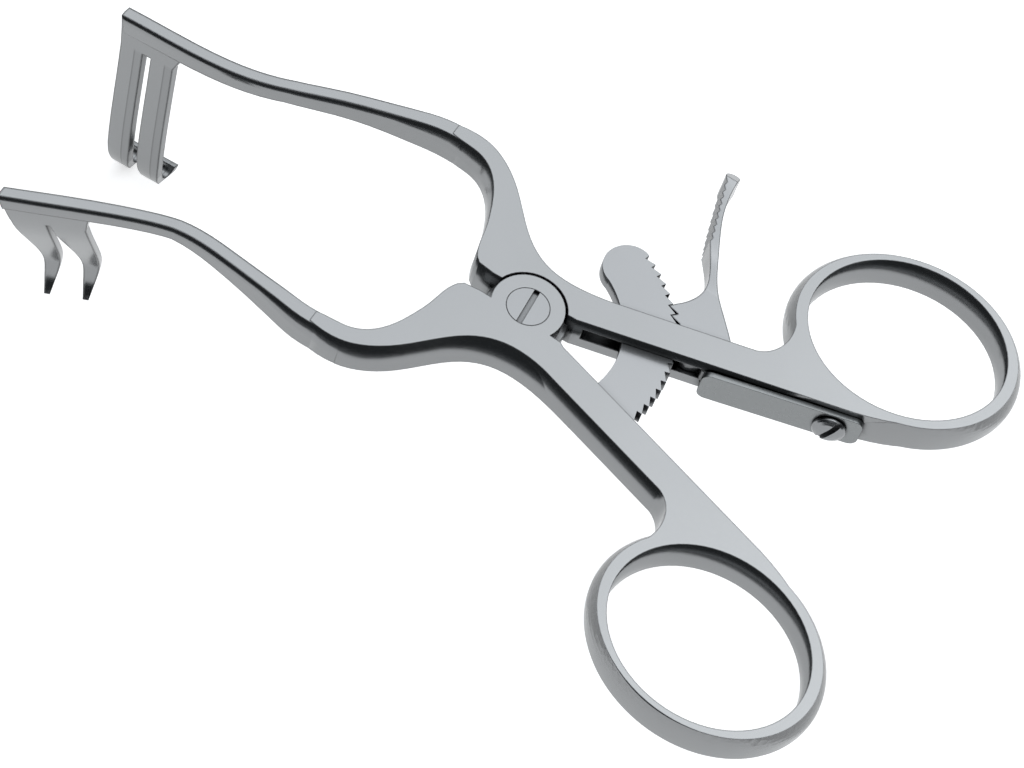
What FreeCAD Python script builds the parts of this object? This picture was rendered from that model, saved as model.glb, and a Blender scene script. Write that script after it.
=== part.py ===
"""Self retaining retractor: two hinged arms with finger rings, held open by a toothed rack.

Millimetres. The origin is the pivot axis on the top faces of the arms. X runs along the
axis of symmetry from the blades (minus) to the rings (plus), Y points to the pronged arm,
and Z points up, so the blades hang down.
"""
import FreeCAD, Part
import math
import os
import Sketcher

V = FreeCAD.Vector

# Driving dimensions: name, value, meaning. Lengths in mm, angles in degrees.
SIZES = [
    ("arm_thickness", 4.9, "full thickness of an arm at the shank and ring"),
    ("shank_angle", 15.5, "angle between the shank and the axis of symmetry"),
    ("shank_inner", 0.4, "facing edge of the shank, measured off the line through the pivot"),
    ("claw_arm_turn", 1.8, "how much further out the handle of the clawed arm stands"),
    ("flare_width", 0.45, "how far the clawed arm's bow flares out at its underside"),
    ("shank_width", 3.9, "width of the shank"),
    ("ring_x", 38.1, "ring centre along X"),
    ("ring_y", 23.7, "ring centre along Y"),
    ("ring_major", 12.1, "half length of the finger opening"),
    ("ring_minor", 10.6, "half width of the finger opening"),
    ("band_sides", 1.4, "top face of the ring at the ends of its long axis"),
    ("band_front", 0.9, "top face of the ring at the ends of its short axis"),
    ("ring_offset", 0.2, "shift of the ring's outline towards the shank"),
    ("ring_swell", 0.85, "how far the ring's outside swells out at half its height"),
    ("ring_undercut", 0.3, "how far the ring's outside draws in at its underside"),
    ("ring_tilt", 10.0, "turn of the ring's long axis"),
    ("bow_end", 16.15, "where the front bar leaves the bow, along Y"),
    ("bow_width", 1.95, "width of the bow where the front bar leaves it"),
    ("boss_radius", 4.35, "round boss of the clawed arm at the pivot"),
    ("boss_gap", 0.3, "gap round that boss"),
    ("lap_depth", 1.8, "thickness of the boss, the upper half of the lap joint"),
    ("lap_radius", 5.0, "round foot under the boss, the lower half of the lap joint"),
    ("lap_gap", 0.15, "gap round that foot"),
    ("running_gap", 0.05, "gap between faces that slide on each other"),
    ("screw_head_radius", 2.5, "pivot screw, flush head"),
    ("screw_head_depth", 0.9, "pivot screw, thickness of the head"),
    ("screw_shoulder_radius", 1.7, "pivot screw, smooth shoulder"),
    ("screw_thread_radius", 1.3, "pivot screw, threaded end"),
    ("driver_slot_width", 0.7, "width of the screwdriver slots"),
    ("driver_slot_depth", 0.45, "depth of the screwdriver slots"),
    ("slot_top", 1.45, "plate left over the slots of the shanks"),
    ("slot_height", 1.9, "height of the slots of the shanks"),
    ("slot_start", 6.8, "start of the ratchet slot along the shank"),
    ("slot_end", 28.5, "end of the ratchet slot along the shank"),
    ("rack_tip_radius", 17.75, "tips of the rack's teeth, from the pivot"),
    ("rack_inner_radius", 11.5, "inner edge of the rack"),
    ("nose_radius", 3.1, "round free end of the rack"),
    ("tooth_depth", 0.65, "depth of the teeth"),
    ("tooth_pitch", 4.44, "angle from tooth to tooth"),
    ("tooth_rest", 41.9, "angle of the tooth that the pawl holds at rest"),
    ("teeth_above", 5, "teeth beyond that one, towards the free end"),
    ("teeth_below", 13, "teeth before it, towards the clawed arm"),
    ("pin_standoff", 1.67, "lever pin, distance of its axis outside the tips of the teeth"),
    ("pin_angle", 22.08, "lever pin, angle from the axis of symmetry"),
    ("pin_radius", 0.8, "lever pin"),
    ("pin_cover", 0.8, "metal left over the blind hole of the lever pin"),
    ("pad_top", 0.75, "top of the lever's finger pad, below the arm's top"),
    ("pad_height", 5.0, "height of the lever's finger pad at its deepest"),
    ("strip_length", 19.25, "leaf spring, length"),
    ("strip_thickness", 0.7, "leaf spring, thickness"),
    ("strip_height", 4.4, "leaf spring, height"),
    ("strip_top", 0.8, "leaf spring, depth of its upper edge under the arm's top"),
    ("strip_end", 40.6, "leaf spring, fixed end along the shank"),
    ("strip_tilt", 1.1, "leaf spring, angle off the shank"),
    ("spring_screw_at", 37.0, "spring screw along the shank"),
    ("spring_screw_depth", 3.2, "spring screw, depth under the arm's top"),
    ("spring_screw_head", 2.0, "spring screw, radius of the domed head"),
    ("spring_screw_dome", 0.8, "spring screw, height of the head"),
    ("spring_screw_shank", 0.9, "spring screw, radius of the shank"),
    ("spring_screw_seat", 0.22, "gap between the strip and that head, in which the strip moves"),
    ("spring_screw_slot", 0.65, "spring screw, depth of its slot in the dome"),
    ("pronged_reach", 61.9, "tip of the pronged arm, in front of the pivot"),
    ("clawed_reach", 58.9, "tip of the clawed arm, in front of the pivot"),
    ("bar_width", 1.5, "width of the front bars"),
    ("bar_bend_depth", 2.7, "depth of the pronged arm's front bar at its bend"),
    ("claw_bar_bend_depth", 2.15, "depth of the clawed arm's front bar at its bend"),
    ("front_slope", 18.5, "downward slope of the outer part of the front bars"),
    ("bend_x", 38.5, "distance of the bend in front of the pivot"),
    ("bend_drop", 3.8, "drop of the bar's top face at the bend"),
    ("plate_depth", 4.8, "depth of the blade above its prongs"),
    ("prong_lean", 0.2, "lean of the long prongs, per mm of their length"),
    ("prong_width", 3.5, "width of a long prong"),
    ("prong_gap", 1.35, "gap between the long prongs"),
    ("prong_length", 26.6, "length of a long prong with its hook"),
    ("claw_pitch", 4.9, "distance from claw to claw"),
    ("claw_width", 4.4, "width of a claw at its root"),
    ("claw_length", 19.5, "length of a claw"),
]


def make_sheet(doc):
    """Write the driving dimensions into a sheet whose cells carry their names."""
    sheet = doc.addObject("Spreadsheet::Sheet", "Sizes")
    for row, (name, value, meaning) in enumerate(SIZES, start=1):
        sheet.set(f"A{row}", name)
        sheet.set(f"B{row}", str(value))
        sheet.set(f"C{row}", meaning)
        sheet.setAlias(f"B{row}", name)
    doc.recompute()
    return sheet


doc = FreeCAD.newDocument("SelfRetainingRetractor")
sheet = make_sheet(doc)


def size(name):
    """Value of a driving dimension."""
    return float(sheet.get(name))


def polar(radius, degrees):
    """Point of the plan at a radius and angle from the pivot."""
    return (radius * math.cos(math.radians(degrees)), radius * math.sin(math.radians(degrees)))


def along_shank(u, v):
    """Point of the plan given along and across the shank of the pronged arm."""
    turn = math.radians(size("shank_angle"))
    return (u * math.cos(turn) - v * math.sin(turn), u * math.sin(turn) + v * math.cos(turn))


def mirrored(points, side):
    """Points of the pronged arm (side 1) or their mirror image on the clawed arm (side -1)."""
    return [(x, side * y) for x, y in points]


def handle_points(points, side):
    """The same for points of the handle, which stands further out on the clawed arm."""
    turn = math.radians(size("claw_arm_turn")) if side < 0 else 0.0
    turned = [(x * math.cos(turn) - y * math.sin(turn), x * math.sin(turn) + y * math.cos(turn))
              for x, y in points]
    return mirrored(turned, side)


# Sketch geometry


def polyline(points):
    """Line segments through the points."""
    return [Part.LineSegment(V(*a, 0), V(*b, 0)) for a, b in zip(points, points[1:]) if a != b]


def curve(points):
    """One smooth curve through the points."""
    spline = Part.BSplineCurve()
    spline.interpolate([V(x, y, 0) for x, y in points])
    return [spline]


def circle(centre, radius):
    """A full circle."""
    return [Part.Circle(V(*centre, 0), V(0, 0, 1), radius)]


def ellipse(centre, major, minor, degrees):
    """A full ellipse whose long axis is turned by the angle."""
    shape = Part.Ellipse(V(0, 0, 0), major, minor)
    shape.rotate(FreeCAD.Placement(V(0, 0, 0), FreeCAD.Rotation(V(0, 0, 1), degrees)))
    shape.translate(V(*centre, 0))
    return [shape]


def strip_outline(stations):
    """Closed outline of a band: each station is a point of its middle line and its width."""
    middle = curve([(x, y) for x, y, _ in stations])[0]
    left, right = [], []
    for x, y, width in stations:
        at = middle.parameter(V(x, y, 0))
        tangent = middle.tangent(at)[0]
        normal = V(-tangent.y, tangent.x, 0) * (width / 2)
        left.append((x + normal.x, y + normal.y))
        right.append((x - normal.x, y - normal.y))
    ends = polyline([left[0], right[0]]) + polyline([left[-1], right[-1]])
    return curve(left) + curve(right) + ends


# Features


def new_body(name):
    """A PartDesign body with its label."""
    body = doc.addObject("PartDesign::Body", name)
    body.Label = name
    return body


def new_sketch(body, name, geometry, plane="XY_Plane", offset=None):
    """A sketch on one of the body's own planes; the offset is an expression."""
    sketch = body.newObject("Sketcher::SketchObject", name)
    support = next(f for f in body.Origin.OriginFeatures if f.Role == plane)
    sketch.AttachmentSupport = [(support, "")]
    sketch.MapMode = "FlatFace"
    sketch.addGeometry(geometry, False)
    if offset:
        sketch.setExpression(".AttachmentOffset.Base.z", offset)
    return sketch


def bind_radius(sketch, expression):
    """Bind the radius of a sketch's only circle to the sheet."""
    sketch.addConstraint(Sketcher.Constraint("Radius", 0, sketch.Geometry[0].Radius))
    sketch.setExpression(f"Constraints[{sketch.ConstraintCount - 1}]", expression)


def extrude(body, kind, sketch, length, reverse=False, middle=False):
    """Pad or pocket a sketch by a length given as an expression."""
    feature = body.newObject(f"PartDesign::{kind}", sketch.Name + kind)
    feature.Profile = sketch
    feature.setExpression("Length", length)
    feature.Reversed = reverse
    if middle:
        feature.Midplane = True
    return feature


def plate(body, name, geometry, top, thickness):
    """Solid plate that hangs down from a height."""
    sketch = new_sketch(body, name, geometry, offset=f"-({top})")
    return extrude(body, "Pad", sketch, thickness, reverse=True)


def cut_down(body, name, geometry, top, depth):
    """Straight cut that goes down from a height."""
    sketch = new_sketch(body, name, geometry, offset=f"-({top})")
    return extrude(body, "Pocket", sketch, depth)


def drill(body, name, centre, radius, top, depth):
    """Round hole that goes down from a height; radius and depths are expressions."""
    sketch = new_sketch(body, name, circle(centre, size_of(radius)), offset=f"-({top})")
    bind_radius(sketch, radius)
    return extrude(body, "Pocket", sketch, depth)


def disc(body, name, radius, top, thickness):
    """Round plate about the pivot; all sizes are expressions."""
    sketch = new_sketch(body, name, circle((0, 0), size_of(radius)), offset=f"-({top})")
    bind_radius(sketch, radius)
    return extrude(body, "Pad", sketch, thickness, reverse=True)


def size_of(expression):
    """Value of an expression made of sheet names joined by plus signs."""
    return sum(size(term.strip().split(".")[1]) for term in expression.split("+"))


# Arms

# Outside of a bow, from its front end to the pivot.
BOW = [(-14.8, 16.95), (-12.0, 15.75), (-9.2, 13.5), (-5.8, 9.7), (-3.1, 7.3), (-0.5, 6.1), (3.0, 5.8)]


def shank_and_bow(side):
    """Outline of an arm from the end of its bow, round the pivot and along the shank."""
    inner = size("shank_inner")
    outer = inner + size("shank_width")
    end_y = size("bow_end")
    half = size("bow_width") / 2
    shank_start = handle_points([along_shank(8.6, outer)], side)[0]
    outer_bow = mirrored([(-19.0, end_y + half - 0.25), (-17.2, end_y + half)] + BOW, side)
    outer_bow.append(shank_start)
    neck = handle_points([along_shank(26.4, outer), (26.1, 12.9), (26.7, 15.2), (26.1, 18.2),
                          (25.1, 21.8), (25.6, 25.6)], side)
    ring_root = handle_points([along_shank(39.0, inner), (42.6, 12.9), (46.6, 15.7), (48.9, 18.4),
                               (50.2, 21.2)], side)
    facing = handle_points([along_shank(6.4, inner), along_shank(39.0, inner)], side)
    inner_bow = mirrored([(-8.1, 2.3), (-8.7, 3.6), (-9.3, 6.4), (-10.0, 8.7), (-11.1, 11.3),
                          (-12.9, 13.7), (-14.9, 14.85), (-17.2, end_y - half),
                          (-19.0, end_y - half + 0.25)], side)
    heel = mirrored([(-8.1, 2.3), (-7.5, 1.75), (-5.5, 1.5), (5.4, 1.9)], side) + [facing[0]]
    geometry = curve(outer_bow) + polyline([outer_bow[-1], neck[0]]) + curve(neck)
    geometry += polyline([neck[-1], ring_root[-1]]) + curve(ring_root) + polyline(facing)
    geometry += polyline(heel) + curve(inner_bow) + polyline([inner_bow[-1], outer_bow[0]])
    return geometry


def finger_ring(body, side, prefix):
    """Ring of the handle: its outside swells out at half height, its opening is straight."""
    turn = size("claw_arm_turn") if side < 0 else 0.0
    tilt = side * (size("ring_tilt") + turn)
    major, minor = size("ring_major"), size("ring_minor")
    outside = handle_points([(size("ring_x"), size("ring_y") - size("ring_offset"))], side)[0]
    layers = [("Top", "0 mm", 0.0), ("Middle", "Sizes.arm_thickness * 0.45", size("ring_swell")),
              ("Under", "Sizes.arm_thickness", -size("ring_undercut"))]
    sections = []
    for name, depth, swell in layers:
        outline = ellipse(outside, major + size("band_sides") + swell,
                          minor + size("band_front") + swell, tilt)
        sections.append(new_sketch(body, f"{prefix}Ring{name}", outline, offset=f"-({depth})"))
    loft = body.newObject("PartDesign::AdditiveLoft", prefix + "RingBody")
    loft.Profile = sections[0]
    loft.Sections = sections[1:]
    centre = handle_points([(size("ring_x"), size("ring_y"))], side)[0]
    opening = ellipse(centre, major, minor, tilt)
    cut_down(body, prefix + "RingOpening", opening, "0 mm", "Sizes.arm_thickness")


def shank_slot(body, prefix, side, start, end):
    """Slot right through the width of the shank, between an upper and a lower plate."""
    low, high = -3.0, size("shank_width") + 3.0
    corners = [along_shank(start, low), along_shank(end, low), along_shank(end, high),
               along_shank(start, high), along_shank(start, low)]
    geometry = polyline(handle_points(corners, side))
    cut_down(body, prefix + "Slot", geometry, "Sizes.slot_top", "Sizes.slot_height")


def front_bar(prefix, side, stations):
    """Front bar: its plan outline and its side outline, each extruded, and what they share."""
    plan = new_body(prefix + "BarPlan")
    band = strip_outline([(x, side * y, width) for x, y, width in stations])
    sketch = new_sketch(plan, prefix + "BarPlanOutline", band, offset="1 mm")
    extrude(plan, "Pad", sketch, "Sizes.arm_thickness * 6", reverse=True)

    profile = new_body(prefix + "BarProfile")
    slope = math.tan(math.radians(size("front_slope")))
    thick, bend_x, drop = size("arm_thickness"), -size("bend_x"), size("bend_drop")
    tip_x = stations[-1][0]
    tip = (tip_x, -drop - slope * (bend_x - tip_x))
    depth = size("bar_bend_depth" if side > 0 else "claw_bar_bend_depth")
    top = [(-15.0, -0.02), (-18.0, -0.04), (-21.5, -0.3), (-27.0, -0.36 * drop), (-33.0, -0.67 * drop),
           (bend_x, -drop)]
    under = [(-15.0, 0.03 - thick), (-18.0, 0.02 - thick), (-21.5, -0.05 - thick),
             (-27.0, -0.2 * drop - thick * 0.87), (-33.0, -0.67 * drop - (thick + depth) * 0.4),
             (bend_x, -drop - depth)]
    tip_under = (tip[0] + 0.9, tip[1] - depth)
    geometry = curve(top) + polyline([top[-1], tip, tip_under, under[-1]])
    geometry += curve(under) + polyline([under[0], top[0]])
    sketch = new_sketch(profile, prefix + "BarProfileOutline", geometry, plane="XZ_Plane")
    extrude(profile, "Pad", sketch, "Sizes.arm_thickness * 12", middle=True)

    bar = doc.addObject("Part::MultiCommon", prefix + "Bar")
    bar.Shapes = [plan, profile]
    return bar, tip


def blade(prefix, side, outline, bend, tip, heading):
    """Blade of an arm, made in its own sloping frame and then placed on the tip of the bar.

    In that frame X runs back along the bar, Y outwards and Z up. The outline is a list of
    sketch geometries of the side view, the bend is the band seen from the end.
    """
    face = new_body(prefix + "BladeFace")
    for index, geometry in enumerate(outline):
        sketch = new_sketch(face, f"{prefix}BladeFace{index}", geometry, plane="XZ_Plane")
        extrude(face, "Pad", sketch, "Sizes.plate_depth * 4", middle=True)

    section = new_body(prefix + "BladeBend")
    band = strip_outline([(side * n, -depth, width) for n, depth, width in bend])
    sketch = new_sketch(section, prefix + "BladeBendOutline", band, plane="YZ_Plane")
    extrude(section, "Pad", sketch, "Sizes.claw_width * 10", middle=True)

    shared = doc.addObject("Part::MultiCommon", prefix + "Blade")
    shared.Shapes = [face, section]
    turn = FreeCAD.Rotation(V(0, 0, 1), -side * heading)
    tilt = FreeCAD.Rotation(V(0, 1, 0), -size("front_slope"))
    shared.Placement = FreeCAD.Placement(V(tip[0], side * tip[2], tip[1]), turn * tilt)
    return shared


def long_prong(index):
    """Side outline of one long prong: a straight leg that narrows round the hook."""
    width, top, end = size("prong_width"), size("plate_depth") - 0.4, size("prong_length")
    start = 0.3 + index * (width + size("prong_gap"))
    straight = end - 5.1
    hook = [(0.0, straight), (0.15, end - 3.0), (0.6, end - 1.2), (1.2, end), (width - 1.3, end),
            (width - 0.5, end - 1.0), (width - 0.1, end - 3.0), (width, straight)]
    outline = [(0.0, top)] + hook + [(width, top)]
    points = [(start + x - size("prong_lean") * depth, -depth) for x, depth in outline]
    return polyline(points + [points[0]])


def claw(index):
    """Side outline of one claw: broad at the root, drawn out to a point."""
    start = 0.35 + index * size("claw_pitch")
    width, top, end = size("claw_width"), size("plate_depth") - 0.4, size("claw_length")
    left = [(0.0, top), (0.25, 7.7), (0.7, 10.2), (1.05, 12.8), (0.95, 15.7), (0.75, end - 1.7),
            (0.9, end - 0.1)]
    right = [(1.5, end), (2.0, end - 1.3), (2.6, 16.7), (3.1, 15.1), (3.5, 13.2), (3.8, 11.0),
             (width - 0.25, 8.0), (width, top)]
    left = [(start + x, -depth) for x, depth in left]
    right = [(start + x, -depth) for x, depth in right]
    return curve(left) + polyline([left[-1], right[0]]) + curve(right) + polyline([right[-1], left[0]])


def blade_plate(width, lean):
    """Side outline of the solid part of a blade."""
    depth = size("plate_depth")
    return polyline([(0.0, -0.3), (0.3 - lean * depth, -depth), (width - lean * depth, -depth),
                     (width + 0.9, -2.2), (width + 1.2, -0.3), (0.0, -0.3)])


def make_arm(name, prefix, side, stations, heading, outline, bend, joint):
    """One arm: shank, bow, ring, front bar and blade as a single forging."""
    body = new_body(prefix + "Handle")
    plate(body, prefix + "Outline", shank_and_bow(side), "0 mm", "Sizes.arm_thickness")
    finger_ring(body, side, prefix)
    joint(body)
    bar, tip = front_bar(prefix, side, stations)
    tip_y = stations[-1][1]
    fitted = blade(prefix, side, outline, bend, (tip[0], tip[1], tip_y), heading)
    arm = doc.addObject("Part::MultiFuse", name)
    arm.Shapes = [body, bar, fitted]
    arm.Refine = True
    arm.Label = name
    return arm


def upper_joint(body):
    """Pivot, ratchet slot and holes of the pronged arm."""
    cut_down(body, "UpperBossRecess", circle((0, 0), size("boss_radius") + size("boss_gap")), "0 mm",
             "Sizes.lap_depth + Sizes.running_gap")
    disc(body, "UpperLapFoot", "Sizes.lap_radius", "Sizes.lap_depth + Sizes.running_gap",
         "Sizes.arm_thickness - Sizes.lap_depth - Sizes.running_gap")
    drill(body, "UpperPivotThread", (0, 0), "Sizes.screw_thread_radius", "0 mm", "Sizes.arm_thickness")
    shank_slot(body, "Upper", 1, size("slot_start"), size("slot_end"))
    drill(body, "UpperPinHole", pin_centre(), "Sizes.pin_radius", "Sizes.pin_cover",
          "Sizes.arm_thickness - Sizes.pin_cover")


def flare_outline(width):
    """Strip along the outside of the clawed arm's bow; it juts out by the width."""
    shank = handle_points([along_shank(13.0, size("shank_inner") + size("shank_width"))], -1)
    path = mirrored(BOW, -1) + shank
    shares = [0.2, 0.6, 0.9, 1.0, 1.0, 1.0, 0.9, 0.1]
    middle = curve(path)[0]
    inside, outside = [], []
    for (x, y), share in zip(path, shares):
        tangent = middle.tangent(middle.parameter(V(x, y, 0)))[0]
        step = width * share - 0.03
        inside.append((x - tangent.y * 1.2, y + tangent.x * 1.2))
        outside.append((x + tangent.y * step, y - tangent.x * step))
    ends = polyline([outside[-1], inside[-1]]), polyline([inside[0], outside[0]])
    return curve(outside) + ends[0] + curve(inside[::-1]) + ends[1]


def flare(body):
    """Lower half of the clawed arm's bow, drawn out a little beyond the top face."""
    top = new_sketch(body, "FlareTop", flare_outline(0.0), offset="-0.4 mm")
    under = new_sketch(body, "FlareUnder", flare_outline(size("flare_width")), offset="-Sizes.arm_thickness")
    loft = body.newObject("PartDesign::AdditiveLoft", "Flare")
    loft.Profile = top
    loft.Sections = [under]
    loft.Ruled = True


def lower_joint(body):
    """Pivot and rack seat of the clawed arm."""
    flare(body)
    cut_down(body, "LowerLapRecess", circle((0, 0), size("lap_radius") + size("lap_gap")),
             "Sizes.lap_depth", "Sizes.arm_thickness - Sizes.lap_depth")
    disc(body, "LowerBoss", "Sizes.boss_radius", "0 mm", "Sizes.lap_depth")
    drill(body, "LowerHeadSeat", (0, 0), "Sizes.screw_head_radius + Sizes.running_gap", "0 mm",
          "Sizes.screw_head_depth")
    drill(body, "LowerPivotHole", (0, 0), "Sizes.screw_shoulder_radius + Sizes.running_gap", "0 mm",
          "Sizes.lap_depth")
    cut_down(body, "LowerRackSeat", rack_outline(), "Sizes.slot_top", "Sizes.slot_height")


# Ratchet


def tooth_angle(index):
    """Angle of a tooth's tip; tooth 0 is the one that the pawl holds at rest."""
    return size("tooth_rest") + index * size("tooth_pitch")


def pin_centre():
    """Axis of the lever pin in plan, just outside the tips of the rack's teeth."""
    return polar(size("rack_tip_radius") + size("pin_standoff"), size("pin_angle"))


def around_pin(points):
    """Points given from the axis of the lever pin."""
    x, y = pin_centre()
    return [(x + a, y + b) for a, b in points]


def rack_teeth():
    """Toothed edge of the rack, from the tooth at the free end to the last one."""
    tip, root = size("rack_tip_radius"), size("rack_tip_radius") - size("tooth_depth")
    points = []
    for index in range(int(size("teeth_above")), -int(size("teeth_below")) - 1, -1):
        points.append(polar(tip, tooth_angle(index)))
        points.append(polar(root, tooth_angle(index) - 0.35))
    return points


def rack_outline():
    """Closed outline of the rack: toothed outside, round free end, tongue in the clawed arm."""
    teeth = rack_teeth()
    tip, inner = size("rack_tip_radius"), size("rack_inner_radius")
    end = tooth_angle(size("teeth_above"))
    tongue = -size("shank_angle") - 13.5
    rim = size("nose_radius")
    nose = [teeth[0]]
    for step in (30, 60, 90, 120, 150):
        swing = math.radians(step)
        across = (tip - rim + rim * math.cos(swing), 0.9 * rim * math.sin(swing))
        turn = math.radians(end)
        nose.append((across[0] * math.cos(turn) - across[1] * math.sin(turn),
                     across[0] * math.sin(turn) + across[1] * math.cos(turn)))
    nose.append(polar(inner, end - 3.0))
    inside = [nose[-1], polar(inner - 0.1, 40.0), polar(inner, 12.0), polar(inner + 0.2, tongue)]
    outside = polar(tip - 1.2, tongue)
    return (polyline(teeth + [outside, inside[-1]]) + curve(nose) + curve(inside))


def make_rack():
    """Toothed bar that is fixed in the clawed arm and passes through the pronged one."""
    body = new_body("ratchet_rack")
    plate(body, "RackOutline", rack_outline(), "Sizes.slot_top + Sizes.running_gap",
          "Sizes.slot_height - 2 * Sizes.running_gap")
    return body


def pawl_teeth():
    """Two teeth of the lever that reach into the rack above the shank."""
    tip = size("rack_tip_radius")
    root = tip - size("tooth_depth")
    points = []
    for index in (0, -1):
        angle = tooth_angle(index)
        points.append(polar(tip + 0.35, angle - 0.05))
        points.append(polar(root + 0.16, angle - 0.62))
        points.append(polar(root + 0.16, angle - 0.95))
    points.append(polar(tip + 0.35, tooth_angle(-2) + 0.1))
    return points


def serrated_edge(start, end, count):
    """Small notches along the finger side of the lever."""
    points = []
    for step in range(count):
        for part, depth in ((0.0, 0.0), (0.5, 0.28)):
            share = (step + part) / count
            points.append((start[0] + (end[0] - start[0]) * share + depth,
                           start[1] + (end[1] - start[1]) * share))
    return points + [end]


def lever_outline():
    """Plan of the release lever: finger pad, stem, pawl and heel in one piece."""
    pawl = pawl_teeth()
    right = around_pin([(-6.6, 24.9), (-6.4, 21.5), (-5.55, 18.0), (-4.4, 15.1), (-3.25, 12.6), (-1.7, 9.8),
                        (0.7, 6.9), (3.1, 4.2)])
    heel = around_pin([(4.0, 2.1), (3.8, 0.1), (3.2, -1.25), (2.8, -1.47), (2.3, -1.4), (1.6, -0.8),
                       (1.0, -1.1), (0.3, -1.35), (-0.6, -1.25), (-1.2, -0.5), (-1.7, 0.8)])
    heel = [right[-1]] + heel + [pawl[-1]]
    left = around_pin([(-5.0, 13.7), (-3.5, 11.1), (-2.75, 8.9), (-2.9, 7.4), (-3.6, 5.9)]) + [pawl[0]]
    grip = around_pin(serrated_edge((-8.1, 23.7), (-5.4, 14.4), 9))
    crown = [grip[0]] + around_pin([(-8.0, 25.0), (-7.3, 25.3)]) + [right[0]]
    geometry = curve(crown) + curve(right) + polyline(heel) + polyline(pawl)
    return geometry + curve(left) + polyline([left[0], grip[-1]]) + polyline(grip)


def make_lever():
    """Release lever: thin in the slot, deeper at the finger pad."""
    plan = new_body("LeverPlan")
    sketch = new_sketch(plan, "LeverPlanOutline", lever_outline(), offset="1 mm")
    extrude(plan, "Pad", sketch, "Sizes.arm_thickness * 3", reverse=True)

    top = -size("slot_top") - size("running_gap")
    under = -size("slot_top") - size("slot_height") + size("running_gap")
    pad, floor = -size("pad_top"), -size("pad_top") - size("pad_height")
    near = pin_centre()[1]
    edge = [(near + 8.7, top), (near + 10.3, 0.6 * top + 0.4 * pad), (near + 12.2, pad - 0.05),
            (near + 17.7, pad), (near + 23.9, pad)]
    below = [(near + 7.2, under), (near + 9.2, under - 0.1), (near + 13.4, 0.6 * under + 0.4 * floor),
             (near + 16.7, floor + 0.1), (near + 20.2, floor), (near + 24.7, floor + 0.9)]
    foot, end = near - 3.3, near + 25.7
    geometry = curve(edge) + curve(below)
    geometry += polyline([edge[0], (foot, top), (foot, under), below[0]])
    geometry += polyline([edge[-1], (end, pad - 1.2), (end, floor + 1.4), below[-1]])
    profile = new_body("LeverProfile")
    sketch = new_sketch(profile, "LeverProfileOutline", geometry, plane="YZ_Plane")
    extrude(profile, "Pad", sketch, "Sizes.rack_tip_radius * 4", middle=True)

    shared = doc.addObject("Part::MultiCommon", "LeverBlank")
    shared.Shapes = [plan, profile]
    bore = upright_cylinder("LeverBore", "Sizes.pin_radius + Sizes.running_gap",
                            "Sizes.arm_thickness * 1.5")
    bore.Placement.Base = V(*pin_centre(), -size("arm_thickness"))
    lever = doc.addObject("Part::Cut", "release_lever")
    lever.Base = shared
    lever.Tool = bore
    lever.Label = "release_lever"
    return lever


def upright_cylinder(name, radius, height):
    """Cylinder whose radius and height are expressions."""
    cylinder = doc.addObject("Part::Cylinder", name)
    cylinder.setExpression("Radius", radius)
    cylinder.setExpression("Height", height)
    return cylinder


def make_lever_pin():
    """Pin of the lever, pressed in from below and ground flush."""
    pin = upright_cylinder("lever_pin", "Sizes.pin_radius", "Sizes.arm_thickness - Sizes.pin_cover")
    reach = "(Sizes.rack_tip_radius + Sizes.pin_standoff)"
    pin.setExpression(".Placement.Base.x", reach + " * cos(Sizes.pin_angle * 1 deg)")
    pin.setExpression(".Placement.Base.y", reach + " * sin(Sizes.pin_angle * 1 deg)")
    pin.setExpression(".Placement.Base.z", "-Sizes.arm_thickness")
    pin.Label = "lever_pin"
    return pin


# Screws and leaf spring


def driver_slot(length, direction):
    """Outline of a screwdriver slot through the centre of a head."""
    half = size("driver_slot_width") / 2
    turn = math.radians(direction)
    corners = [(length, half), (-length, half), (-length, -half), (length, -half), (length, half)]
    return polyline([(x * math.cos(turn) - y * math.sin(turn), x * math.sin(turn) + y * math.cos(turn))
                     for x, y in corners])


def make_pivot_screw():
    """Flush slotted screw: head and shoulder in the clawed arm, thread in the pronged one."""
    body = new_body("pivot_screw")
    disc(body, "ScrewHead", "Sizes.screw_head_radius", "0 mm", "Sizes.screw_head_depth - Sizes.running_gap")
    disc(body, "ScrewShoulder", "Sizes.screw_shoulder_radius", "0 mm", "Sizes.lap_depth + Sizes.running_gap")
    disc(body, "ScrewThread", "Sizes.screw_thread_radius", "0 mm", "Sizes.arm_thickness")
    slot = driver_slot(size("screw_head_radius") + 0.2, 94.0)
    cut_down(body, "ScrewSlot", slot, "0 mm", "Sizes.driver_slot_depth")
    return body


def side_placement(u, v, depth, turn=0.0):
    """Placement on the facing side of the pronged shank.

    Local X runs along the shank, local Y up and local Z out of its side.
    """
    x, y = along_shank(u, v)
    upright = FreeCAD.Rotation(V(1, 0, 0), 90)
    swing = FreeCAD.Rotation(V(0, 0, 1), size("shank_angle") + turn)
    return FreeCAD.Placement(V(x, y, -depth), swing * upright)


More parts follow.
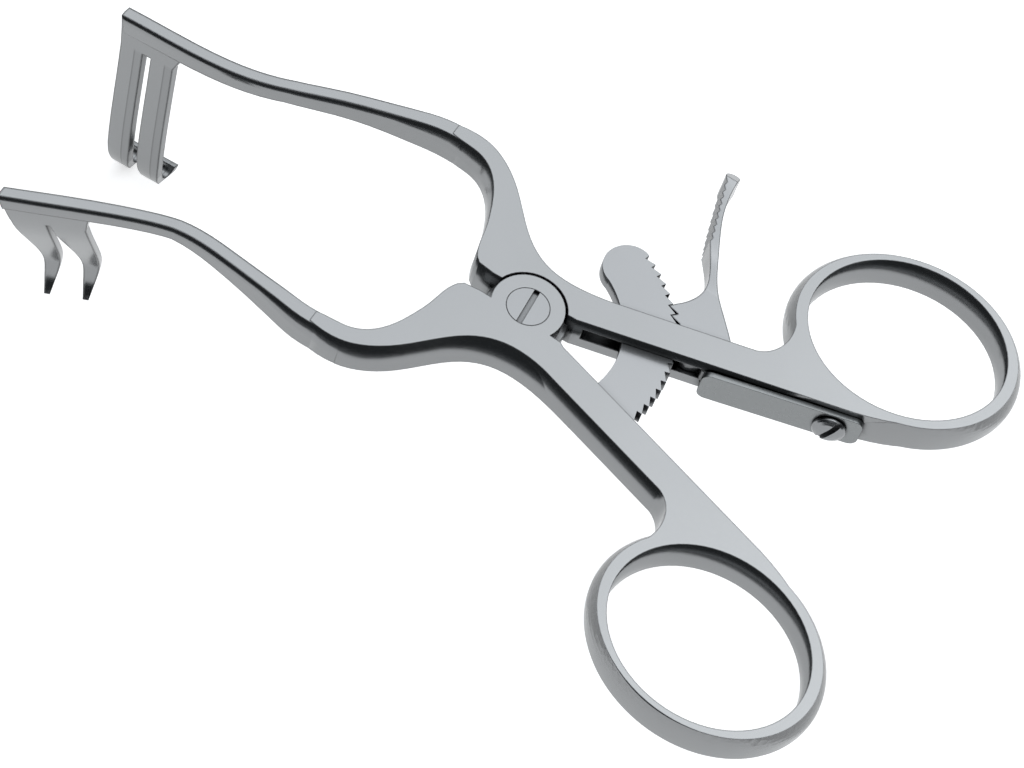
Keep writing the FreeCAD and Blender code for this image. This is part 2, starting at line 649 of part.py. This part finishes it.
def make_leaf_spring():
    """Flat strip on the side of the shank that presses on the lever's heel."""
    body = new_body("leaf_spring")
    length, height = size("strip_length"), size("strip_height")
    corner = 1.1
    points = [(-length + corner, 0), (-corner, 0), (0, -corner), (0, corner - height), (-corner, -height),
              (corner - length, -height), (-length, corner - height), (-length, -corner)]
    geometry = []
    for start, end in ((0, 1), (2, 3), (4, 5), (6, 7)):
        geometry += polyline([points[start], points[end]])
    near = corner * 0.2929
    arcs = [(points[1], (-near, -near), points[2]), (points[3], (-near, near - height), points[4]),
            (points[5], (near - length, near - height), points[6]), (points[7], (near - length, -near), points[0])]
    for first, middle, last in arcs:
        geometry.append(Part.Arc(V(*first, 0), V(*middle, 0), V(*last, 0)))
    sketch = new_sketch(body, "StripOutline", geometry)
    extrude(body, "Pad", sketch, "Sizes.strip_thickness")
    centre = (size("spring_screw_at") - size("strip_end"), size("strip_top") - size("spring_screw_depth"))
    hole = new_sketch(body, "StripHole", circle(centre, size("spring_screw_shank") + 0.15))
    extrude(body, "Pocket", hole, "Sizes.strip_thickness", reverse=True)
    body.Placement = side_placement(size("strip_end"), size("shank_inner"), size("strip_top"),
                                    size("strip_tilt"))
    return body


def make_spring_screw():
    """Slotted screw with a domed head that holds the leaf spring."""
    radius, rise = size("spring_screw_head"), size("spring_screw_dome")
    shank, depth = size("spring_screw_shank"), 2.4
    body = new_body("spring_screw")
    outline = polyline([(0, -depth), (shank, -depth), (shank, 0), (radius, 0), (radius, 0.35 * rise),
                        (0.9 * radius, 0.62 * rise), (0.7 * radius, 0.86 * rise), (0.4 * radius, rise),
                        (0, rise), (0, -depth)])
    sketch = new_sketch(body, "SpringScrewProfile", outline, plane="XZ_Plane")
    turned = body.newObject("PartDesign::Revolution", "SpringScrewTurned")
    turned.Profile = sketch
    turned.ReferenceAxis = (sketch, ["V_Axis"])
    turned.Angle = 360
    slot = new_sketch(body, "SpringScrewSlot", driver_slot(radius + 0.2, 65.0), offset=f"{rise} mm")
    extrude(body, "Pocket", slot, "Sizes.spring_screw_slot")
    seat = size("strip_thickness") + size("spring_screw_seat")
    depth_at = size("spring_screw_depth")
    body.Placement = side_placement(size("spring_screw_at"), size("shank_inner") - seat, depth_at)
    return body


def drill_spring_seat(arm):
    """Hole in the pronged shank for the spring screw."""
    hole = upright_cylinder("SpringScrewHole", "Sizes.spring_screw_shank", "Sizes.shank_width")
    depth_at = size("spring_screw_depth")
    deepest = size("shank_inner") + 1.8
    hole.Placement = side_placement(size("spring_screw_at"), deepest, depth_at)
    return hole


UPPER_STATIONS = [(-15.6, 15.95, 1.5), (-18.0, 16.1, 1.75), (-20.5, 16.0, 1.72), (-23.5, 15.5, 1.65),
                  (-28.3, 14.6, 1.55),
                  (-33.1, 13.5, 1.5), (-38.7, 12.1, 1.5), (-43.5, 11.7, 1.5), (-49.1, 12.15, 1.5),
                  (-55.1, 13.2, 1.5), (-size("pronged_reach"), 14.5, 1.5)]
LOWER_STATIONS = [(-15.6, 15.95, 1.5), (-18.0, 16.15, 1.75), (-20.5, 16.1, 1.72), (-23.0, 15.6, 1.65),
                  (-26.8, 14.7, 1.55),
                  (-31.4, 13.65, 1.5), (-35.0, 12.95, 1.5), (-38.6, 12.7, 1.5), (-42.6, 13.15, 1.5),
                  (-48.7, 14.43, 1.6), (-53.8, 15.7, 1.6), (-size("clawed_reach"), 17.0, 1.5)]
HOOK = [(0.0, 0.3, 1.3), (-0.15, 3.0, 1.15), (-0.5, 6.5, 1.0), (-1.1, 12.0, 0.95), (-1.6, 17.0, 0.95),
        (-1.85, 21.0, 0.95), (-1.8, 23.2, 0.95), (-1.2, 25.0, 0.95), (0.2, 25.9, 0.9), (1.3, 25.4, 0.8),
        (1.7, 24.6, 0.7)]
S_BEND = [(0.0, 0.3, 1.3), (-0.1, 3.2, 1.15), (-0.6, 6.6, 1.0), (-1.6, 10.0, 0.95), (-2.6, 13.2, 0.95),
          (-3.0, 15.5, 0.9), (-2.5, 17.5, 0.85), (-1.4, 19.0, 0.7), (-0.7, 19.5, 0.6)]

upper_outline = [blade_plate(8.7, size("prong_lean")), long_prong(0), long_prong(1)]
lower_outline = [blade_plate(9.7, 0.0), claw(0), claw(1)]
upper_blank = make_arm("UpperBlank", "Upper", 1, UPPER_STATIONS, 10.0, upper_outline, HOOK,
                       upper_joint)
upper_arm = doc.addObject("Part::Cut", "upper_arm")
upper_arm.Base = upper_blank
upper_arm.Tool = drill_spring_seat(upper_blank)
upper_arm.Label = "upper_arm"
lower_arm = make_arm("lower_arm", "Lower", -1, LOWER_STATIONS, 14.0, lower_outline, S_BEND,
                     lower_joint)
NODES = [upper_arm, lower_arm, make_pivot_screw(), make_rack(), make_lever(), make_lever_pin(),
         make_leaf_spring(), make_spring_screw()]
doc.recompute()


def check_document():
    """Stop on any object that failed and on any empty or invalid shape."""
    for item in doc.Objects:
        if "Invalid" in item.State or "Error" in item.State:
            raise RuntimeError(f"{item.Name}: {item.State}")
    for node in NODES:
        if node.Shape.isNull() or not node.Shape.isValid() or not node.Shape.Solids:
            raise RuntimeError(f"{node.Label}: no valid solid")


check_document()
os.makedirs("parts", exist_ok=True)
for node in NODES:
    node.Shape.exportStep(f"parts/{node.Label}.step")
    print(node.Label, len(node.Shape.Solids), round(node.Shape.Volume, 2))
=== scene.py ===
"""Self retaining retractor in satin stainless steel, on a white sheet under soft studio light."""
import math

import bpy
from mathutils import Matrix, Vector


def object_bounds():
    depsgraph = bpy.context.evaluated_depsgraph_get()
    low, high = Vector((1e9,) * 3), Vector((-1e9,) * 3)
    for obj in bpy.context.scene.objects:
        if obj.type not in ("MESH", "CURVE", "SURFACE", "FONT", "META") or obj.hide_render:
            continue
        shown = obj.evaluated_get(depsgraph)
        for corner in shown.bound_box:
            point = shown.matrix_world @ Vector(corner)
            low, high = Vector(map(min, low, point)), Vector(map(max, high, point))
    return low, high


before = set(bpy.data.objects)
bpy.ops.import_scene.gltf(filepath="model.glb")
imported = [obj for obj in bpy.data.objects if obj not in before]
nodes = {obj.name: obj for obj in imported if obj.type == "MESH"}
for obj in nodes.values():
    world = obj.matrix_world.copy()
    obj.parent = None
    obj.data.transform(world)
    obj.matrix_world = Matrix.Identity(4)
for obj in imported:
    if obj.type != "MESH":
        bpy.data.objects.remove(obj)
cad_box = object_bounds()
scene = bpy.context.scene
scene.view_settings.view_transform = "Standard"


# The camera: a long lens that looks down at the instrument from the side of the clawed arm,
# rolled so that the blades lie to the upper left and the rings to the lower right.
camera_place = (0.0536, -0.2565, 0.3686)
right = Vector((0.849, 0.4853, 0.2093))
up = Vector((-0.5165, 0.678, 0.5231))
backward = Vector((0.112, -0.5522, 0.8262))
camera_turn = Matrix((right, up, backward)).transposed().to_4x4()

camera_data = bpy.data.cameras.new("camera")
camera_data.sensor_width = 36.0
camera_data.lens = 140.6
camera_data.clip_start = 0.01
camera = bpy.data.objects.new("camera", camera_data)
scene.collection.objects.link(camera)
camera.matrix_world = Matrix.Translation(camera_place) @ camera_turn
scene.camera = camera


# The table: a sheet of white paper on a dark table top. The paper fills the picture and shows
# plain white, also in the steel, and keeps the faint shadow of the instrument.
paper_gap = 0.0002
paper_corners = ((-0.3, -0.14), (0.3, 0.3))
paper_colour = (0.8, 0.8, 0.8, 1)
paper_glow = 0.62
table_gap = 0.001
table_corners = ((-2.0, -2.0), (2.0, 2.0))
slate_colour = (0.15, 0.155, 0.16, 1)


def empty_tree(owner, output_kind):
    """Cleared node tree of a material or the world, with its output node."""
    owner.use_nodes = True
    owner.node_tree.nodes.clear()
    return owner.node_tree, owner.node_tree.nodes.new(output_kind)


def feed(tree, socket, value):
    """Link a socket to another node's output, or set it where the value is a constant."""
    if isinstance(value, bpy.types.NodeSocket):
        tree.links.new(value, socket)
    else:
        socket.default_value = value


def calculate(tree, operation, *values):
    """Result of one sum on numbers, each a constant or another node's output."""
    node = tree.nodes.new("ShaderNodeMath")
    node.operation = operation
    for socket, value in zip(node.inputs, values):
        feed(tree, socket, value)
    return node.outputs[0]


def flat_sheet(name, corners, height, material):
    """Level rectangle between two corners, which belongs to the stage."""
    (low_x, low_y), (high_x, high_y) = corners
    outline = [(low_x, low_y), (high_x, low_y), (high_x, high_y), (low_x, high_y)]
    mesh = bpy.data.meshes.new(name)
    mesh.from_pydata([(x, y, height) for x, y in outline], [], [(0, 1, 2, 3)])
    mesh.materials.append(material)
    sheet = bpy.data.objects.new(name, mesh)
    scene.collection.objects.link(sheet)


paper = bpy.data.materials.new("white_paper")
tree, output = empty_tree(paper, "ShaderNodeOutputMaterial")
fibre = tree.nodes.new("ShaderNodeBsdfPrincipled")
fibre.inputs["Base Color"].default_value = paper_colour
fibre.inputs["Roughness"].default_value = 0.9
fibre.inputs["Specular IOR Level"].default_value = 0.1
rays = tree.nodes.new("ShaderNodeLightPath").outputs
seen = calculate(tree, "MAXIMUM", rays["Is Camera Ray"], rays["Is Glossy Ray"])
shown = calculate(tree, "MAXIMUM", seen, rays["Is Transmission Ray"])
white = tree.nodes.new("ShaderNodeEmission")
feed(tree, white.inputs["Strength"], calculate(tree, "MULTIPLY", shown, paper_glow))
both = tree.nodes.new("ShaderNodeAddShader")
tree.links.new(fibre.outputs[0], both.inputs[0])
tree.links.new(white.outputs[0], both.inputs[1])
tree.links.new(both.outputs[0], output.inputs["Surface"])

slate = bpy.data.materials.new("dark_table_top")
tree, output = empty_tree(slate, "ShaderNodeOutputMaterial")
top = tree.nodes.new("ShaderNodeBsdfPrincipled")
top.inputs["Base Color"].default_value = slate_colour
top.inputs["Roughness"].default_value = 0.7
tree.links.new(top.outputs[0], output.inputs["Surface"])

under_instrument = cad_box[0][2] - paper_gap
flat_sheet("paper", paper_corners, under_instrument, paper)
flat_sheet("table_top", table_corners, under_instrument - table_gap, slate)


# The light: a broad white tent over and behind the instrument, dark on the camera's side and
# low down, so that level faces mirror the tent and rounded edges mirror the dark room. A weak
# square lamp panel hangs above and behind.
dark_room = (0.042, 0.046, 0.049, 1)
tent_cloth = (0.98, 1.01, 1.04, 1)
tent_back = (-0.45, 0.1)
tent_top = (0.52, 0.92)
horizon = (0.12, 0.45)
panel_side = 0.5
panel_watts = 0.25
panel_place = (0.2, 0.4, 0.7)


def axis_parts(tree, vector):
    """Outputs X, Y and Z of a vector."""
    node = tree.nodes.new("ShaderNodeSeparateXYZ")
    tree.links.new(vector, node.inputs[0])
    return node.outputs


def graded(tree, source, start, end, low=0.0, high=1.0, smooth=False):
    """Value that goes from low, where the source is at start, to high, where it is at end."""
    node = tree.nodes.new("ShaderNodeMapRange")
    if smooth:
        node.interpolation_type = "SMOOTHSTEP"
    feed(tree, node.inputs["Value"], source)
    feed(tree, node.inputs["From Min"], start)
    feed(tree, node.inputs["From Max"], end)
    feed(tree, node.inputs["To Min"], low)
    feed(tree, node.inputs["To Max"], high)
    return node.outputs[0]


def mixed(tree, share, first, second, blend="MIX"):
    """Two colours mixed or blended, with the second one at its share."""
    node = tree.nodes.new("ShaderNodeMixRGB")
    node.blend_type = blend
    feed(tree, node.inputs["Fac"], share)
    feed(tree, node.inputs["Color1"], first)
    feed(tree, node.inputs["Color2"], second)
    return node.outputs["Color"]


world = scene.world or bpy.data.worlds.new("tent")
scene.world = world
tree, output = empty_tree(world, "ShaderNodeOutputWorld")
direction = tree.nodes.new("ShaderNodeTexCoord")
towards = axis_parts(tree, direction.outputs["Generated"])
to_back = graded(tree, towards["Y"], *tent_back, smooth=True)
to_top = graded(tree, towards["Z"], *tent_top, smooth=True)
over_horizon = graded(tree, towards["Z"], *horizon, smooth=True)
back_wall = calculate(tree, "MULTIPLY", to_back, over_horizon)
lit = calculate(tree, "MAXIMUM", back_wall, to_top)
tent = tree.nodes.new("ShaderNodeBackground")
tree.links.new(mixed(tree, lit, dark_room, tent_cloth), tent.inputs["Color"])
tree.links.new(tent.outputs[0], output.inputs["Surface"])

lamp_data = bpy.data.lights.new("overhead_panel", "AREA")
lamp_data.shape = "RECTANGLE"
lamp_data.size = panel_side
lamp_data.size_y = panel_side
lamp_data.energy = panel_watts
lamp = bpy.data.objects.new("overhead_panel", lamp_data)
scene.collection.objects.link(lamp)
lamp.location = panel_place
lamp.rotation_euler = (-lamp.location).to_track_quat("-Z", "Y").to_euler()


# The two arms: forged stainless steel, ground flat on top and blasted to an even satin. Their
# flanks are rounded on a belt, most of all towards the top, and have painted shade. The long
# prongs of the upper arm each have a narrow facet ground along them, drawn as painted shade.
arm_belt = {"edge": -0.0002, "reach": 0.0044, "most": 0.76}
front_bars = {
    "drops": [(-0.019, -0.0385, 0.0038), (-0.0385, -0.062, 0.0079)],
    "narrowing": (-0.012, -0.026),
    "reach": 0.0012,
    "rounding": (-0.019, -0.027),
    "rim": 0.00042,
}
arm_finish = {
    "colour": (0.465, 0.475, 0.482),
    "roughness": 0.21,
    "rim": 0.0002,
    "belt": arm_belt,
    "bars": front_bars,
}
opening_radii = (0.0121, 0.0106)
upper_ring = {"middle": (0.0381, 0.0237), "turn": 10.0}
lower_ring = {"middle": (0.0373, -0.0249), "turn": -11.8}


def of_vectors(tree, operation, *values):
    """Result of one step on vectors, each a constant or another node's output."""
    node = tree.nodes.new("ShaderNodeVectorMath")
    node.operation = operation
    for socket, value in zip(node.inputs, values):
        feed(tree, socket, value)
    gives_number = operation in ("DOT_PRODUCT", "LENGTH")
    return node.outputs["Value" if gives_number else "Vector"]


def noise(tree, place, scale, detail):
    """Noise in the metal, from 0 to 1, with about as many grains to a metre as the scale."""
    node = tree.nodes.new("ShaderNodeTexNoise")
    node.inputs["Scale"].default_value = scale
    node.inputs["Detail"].default_value = detail
    tree.links.new(place, node.inputs["Vector"])
    return node.outputs["Fac"]


def mottled(tree, place, colour):
    """The steel's colour, in wide patches a little darker and a little lighter."""
    patches_per_metre = 70.0
    darker = (*[0.96 * part for part in colour], 1)
    lighter = (*[1.04 * part for part in colour], 1)
    return mixed(tree, noise(tree, place, patches_per_metre, 3.0), darker, lighter)


def painted_crevice_shade(tree):
    """Painted shade: a tone that is full in the open and falls where surfaces stand close
    together.
    """
    closed, open_air = 0.25, 0.85
    deepest_painted_shade = 0.08
    shelter = tree.nodes.new("ShaderNodeAmbientOcclusion")
    shelter.samples = 8
    shelter.inputs["Distance"].default_value = 0.0025
    return graded(tree, shelter.outputs["AO"], closed, open_air, low=deepest_painted_shade)


def broken_edges(tree, rim):
    """Surface direction with every sharp edge broken to the rim's radius."""
    node = tree.nodes.new("ShaderNodeBevel")
    node.samples = 6
    feed(tree, node.inputs["Radius"], rim)
    return node.outputs["Normal"]


def painted_prong_crease(tree, place, tone):
    """Painted shade on a tone, on the facet ground along each long prong and in the crease beside
    it.
    """
    along_row = (0.9965, -0.1757, 0.1276)
    along_prong = (-0.3125, 0.0551, 0.9483)
    row_start = 0.06541
    pitch = 0.00485
    prongs = 2
    root = 0.0041
    root_fade = 0.0005
    row_fade = 0.1
    painted_facet_shades = ((0.44, 1.0), (0.455, 0.62), (0.475, 0.7), (0.5, 0.9))
    painted_shade_beyond = 0.95

    in_row = of_vectors(tree, "DOT_PRODUCT", place, along_row)
    counted = calculate(tree, "MULTIPLY_ADD", in_row, 1 / pitch, row_start / pitch)
    across = calculate(tree, "FRACT", counted)
    facet = tree.nodes.new("ShaderNodeValToRGB")
    tree.links.new(across, facet.inputs["Fac"])
    stops = facet.color_ramp.elements
    stops[0].color = (1, 1, 1, 1)
    stops[1].color = (painted_shade_beyond, painted_shade_beyond, painted_shade_beyond, 1)
    for spot, grey in painted_facet_shades:
        stops.new(spot).color = (grey, grey, grey, 1)

    in_prong = of_vectors(tree, "DOT_PRODUCT", place, along_prong)
    under_root = graded(tree, in_prong, root + root_fade, root)
    in_blade = graded(tree, counted, prongs + row_fade, prongs)
    on_prongs = calculate(tree, "MULTIPLY", under_root, in_blade)
    shading = mixed(tree, on_prongs, (1, 1, 1, 1), facet.outputs["Color"])
    return calculate(tree, "MULTIPLY", tone, shading)


def belt_lean(tree, spot, belt, bars):
    """How far a flank leans back: not at all low down, and most at its upper edge. That edge
    drops along the front bars of an arm, and the rounding gets narrower there."""
    edge = belt["edge"]
    low_end = edge - belt["reach"]
    height = spot["Z"]
    if bars:
        for start, end, drop in bars["drops"]:
            dip = graded(tree, spot["X"], start, end, high=drop)
            height = calculate(tree, "ADD", height, dip)
        low_end = graded(tree, spot["X"], *bars["narrowing"], low_end, edge - bars["reach"])
    return graded(tree, height, low_end, edge, high=belt["most"])


def ring_lean(tree, spot, surface_up, lean, ring):
    """The lean of a flank, except round the outside of a finger ring: that is a round form
    already, and is drawn a little flatter instead. Inside and beyond count in openings, 1 at
    the opening's own edge."""
    inside = (1.08, 1.04)
    beyond = (1.35, 1.6)
    flattening = -0.85

    plan = tree.nodes.new("ShaderNodeCombineXYZ")
    tree.links.new(spot["X"], plan.inputs["X"])
    tree.links.new(spot["Y"], plan.inputs["Y"])
    from_middle = tree.nodes.new("ShaderNodeMapping")
    from_middle.vector_type = "TEXTURE"
    from_middle.inputs["Location"].default_value = (*ring["middle"], 0.0)
    from_middle.inputs["Rotation"].default_value = (0.0, 0.0, math.radians(ring["turn"]))
    from_middle.inputs["Scale"].default_value = (*opening_radii, 1.0)
    tree.links.new(plan.outputs[0], from_middle.inputs["Vector"])
    openings = of_vectors(tree, "LENGTH", from_middle.outputs[0])
    is_inside = graded(tree, openings, *inside)
    is_beyond = graded(tree, openings, *beyond)
    choice = tree.nodes.new("ShaderNodeMix")
    feed(tree, choice.inputs["Factor"], calculate(tree, "MAXIMUM", is_inside, is_beyond))
    feed(tree, choice.inputs["A"], calculate(tree, "MULTIPLY", surface_up, flattening))
    feed(tree, choice.inputs["B"], lean)
    return choice.outputs[0]


def leaned_up(tree, facing, lean):
    """Surface direction, turned upwards by the lean."""
    upwards = tree.nodes.new("ShaderNodeCombineXYZ")
    tree.links.new(lean, upwards.inputs["Z"])
    turned = of_vectors(tree, "ADD", facing, upwards.outputs[0])
    return of_vectors(tree, "NORMALIZE", turned)


def satin_steel(name, colour, roughness, rim, painted_flank_tone=0.54, painted_rim_shade=0.3,
                belt=None, bars=None, ring=None, painted_crease=False):
    """Satin steel: bright level tops, painted shade on flanks, on broken edges and in crevices.

    The belt rounds upright flanks: it holds the height of their upper edge, how far down the
    rounding reaches and how far it leans at most. The bars say where the front bars of an arm
    drop, and how its belt and rim change along them. The ring holds the middle of the arm's
    finger opening and its turn in degrees. Creased steel gets painted shade on the prong facets."""
    level_to_upright = (0.9, 0.7)
    edge_to_face = (0.88, 0.985)
    grains_per_metre = 1500.0
    grain_height = 0.000003
    gloss_change = 0.03

    material = bpy.data.materials.new(name)
    tree, output = empty_tree(material, "ShaderNodeOutputMaterial")
    shader = tree.nodes.new("ShaderNodeBsdfPrincipled")
    shader.inputs["Metallic"].default_value = 1.0
    place = tree.nodes.new("ShaderNodeTexCoord").outputs["Object"]
    spot = axis_parts(tree, place)
    surface = tree.nodes.new("ShaderNodeNewGeometry").outputs
    flat_face = surface["True Normal"]
    on_flank = graded(tree, axis_parts(tree, flat_face)["Z"], *level_to_upright)

    if bars:
        rim = graded(tree, spot["X"], *bars["rounding"], rim, bars["rim"])
    rounded = broken_edges(tree, rim)
    # Painted shade along broken edges: darker where the rounded direction turns from the face.
    off_edge = of_vectors(tree, "DOT_PRODUCT", rounded, flat_face)
    painted_edge_shade = graded(tree, off_edge, *edge_to_face, low=painted_rim_shade)
    # Painted shade: upright flanks are darker than level tops.
    painted_flank_shade = graded(tree, on_flank, 0.0, 1.0, low=1.0, high=painted_flank_tone)
    tone = calculate(tree, "MULTIPLY", painted_edge_shade, painted_flank_shade)
    # Painted shade in crevices.
    tone = calculate(tree, "MULTIPLY", painted_crevice_shade(tree), tone)
    # Painted shade of the long prongs' facets and crease.
    if painted_crease:
        tone = painted_prong_crease(tree, place, tone)
    steel = mixed(tree, 1.0, mottled(tree, place, colour), tone, blend="MULTIPLY")
    tree.links.new(steel, shader.inputs["Base Color"])

    grain = noise(tree, place, grains_per_metre, 2.0)
    glossy, matt = roughness - gloss_change, roughness + gloss_change
    tree.links.new(graded(tree, grain, 0.0, 1.0, glossy, matt), shader.inputs["Roughness"])
    blasted = tree.nodes.new("ShaderNodeBump")
    blasted.inputs["Strength"].default_value = 0.3
    blasted.inputs["Distance"].default_value = grain_height
    tree.links.new(grain, blasted.inputs["Height"])
    tree.links.new(rounded, blasted.inputs["Normal"])
    facing = blasted.outputs["Normal"]
    if belt:
        lean = belt_lean(tree, spot, belt, bars)
        if ring:
            surface_up = axis_parts(tree, surface["Normal"])["Z"]
            lean = ring_lean(tree, spot, surface_up, lean, ring)
        facing = leaned_up(tree, facing, calculate(tree, "MULTIPLY", lean, on_flank))
    tree.links.new(facing, shader.inputs["Normal"])
    tree.links.new(shader.outputs[0], output.inputs["Surface"])
    return material


def dress(name, material):
    """Give every material slot of a node the same finish."""
    for slot in nodes[name].material_slots:
        slot.material = material


pronged_steel = satin_steel("pronged_steel", **arm_finish, ring=upper_ring, painted_crease=True)
clawed_steel = satin_steel("clawed_steel", **arm_finish, ring=lower_ring)
dress("upper_arm", pronged_steel)
dress("lower_arm", clawed_steel)


# The toothed rack: cut from hardened steel plate, the teeth milled and left sharp. It is pressed
# into the clawed arm.
plate_colour = (0.465, 0.475, 0.485)
plate_belt = {"edge": -0.0014, "reach": 0.002, "most": 0.6}
plate_steel = satin_steel("plate_steel", plate_colour, roughness=0.24, rim=0.00006,
                          belt=plate_belt)
dress("ratchet_rack", plate_steel)


# The release lever: bent and filed from the same plate, with a finger pad that is rounded all
# over and a fine file cut on its finger side.
# Its flanks and broken edges get deeper painted shade than the arms'.
lever_steel = satin_steel("lever_steel", plate_colour, roughness=0.2, rim=0.0003,
                          painted_flank_tone=0.34, painted_rim_shade=0.2)
dress("release_lever", lever_steel)


# The leaf spring: a strip of rolled spring steel, a little darker than the arms. It lies along
# the flank of the pronged arm, and its domed screw holds it near the ring.
spring_colour = (0.37, 0.385, 0.39)
# Its flanks get lighter painted shade than the arms'.
spring_steel = satin_steel("spring_steel", spring_colour, roughness=0.28, rim=0.00012,
                           painted_flank_tone=0.62)
dress("leaf_spring", spring_steel)


# The pivot screw, the spring's screw and the lever's pin: turned from bar and polished, the
# slots cut with a thin saw.
turned_colour = (0.46, 0.47, 0.48)
turned_steel = satin_steel("turned_steel", turned_colour, roughness=0.2, rim=0.00008)
dress("pivot_screw", turned_steel)
dress("spring_screw", turned_steel)
dress("lever_pin", turned_steel)
